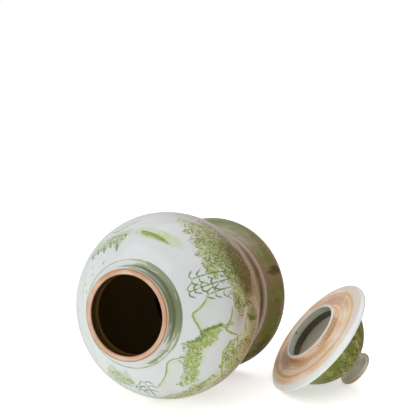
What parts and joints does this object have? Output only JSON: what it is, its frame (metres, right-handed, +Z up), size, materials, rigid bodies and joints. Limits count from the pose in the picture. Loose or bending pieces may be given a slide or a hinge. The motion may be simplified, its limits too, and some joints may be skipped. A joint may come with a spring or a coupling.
{
  "type": "lidded ginger jar",
  "caption": "Globe-shaped porcelain jar with a stepped waist and flared foot, lying on its side, its domed lid lying off beside it.",
  "frame": {"origin": "middle of the footprint of the jar and its lid, on the surface they lie on", "axes": "+Z up, -Y the way the jar's mouth faces, +X the side where the lid lies"},
  "size_m": [0.2926, 0.2564, 0.1999],
  "materials": {
    "painted_glaze": "gloss",
    "waist_glaze": "gloss",
    "inner_glaze": "satin",
    "bare_biscuit": "matte",
    "collar_glaze": "gloss",
    "brim_biscuit": "satin",
    "green_glaze": "gloss",
    "knob_glaze": "gloss"
  },
  "bodies": {
    "jar": {"neck_ring": "painted_glaze", "shoulder_section": "painted_glaze", "belly_section": "painted_glaze", "lower_section": "waist_glaze", "base_disc": "inner_glaze", "foot_ring": "bare_biscuit"},
    "lid": {"lid_collar": "collar_glaze", "lid_brim": "brim_biscuit", "lid_dome": "green_glaze", "lid_knob": "knob_glaze"}
  },
  "joints": [
    {"name": "lid_swing", "type": "hinge", "parent": "jar", "child": "lid", "pos_m": [0.01663, -0.03503, 0.08551], "axis": [0.6035, -0.5536, -0.5738], "range_deg": [0, 178.95]}
  ]
}
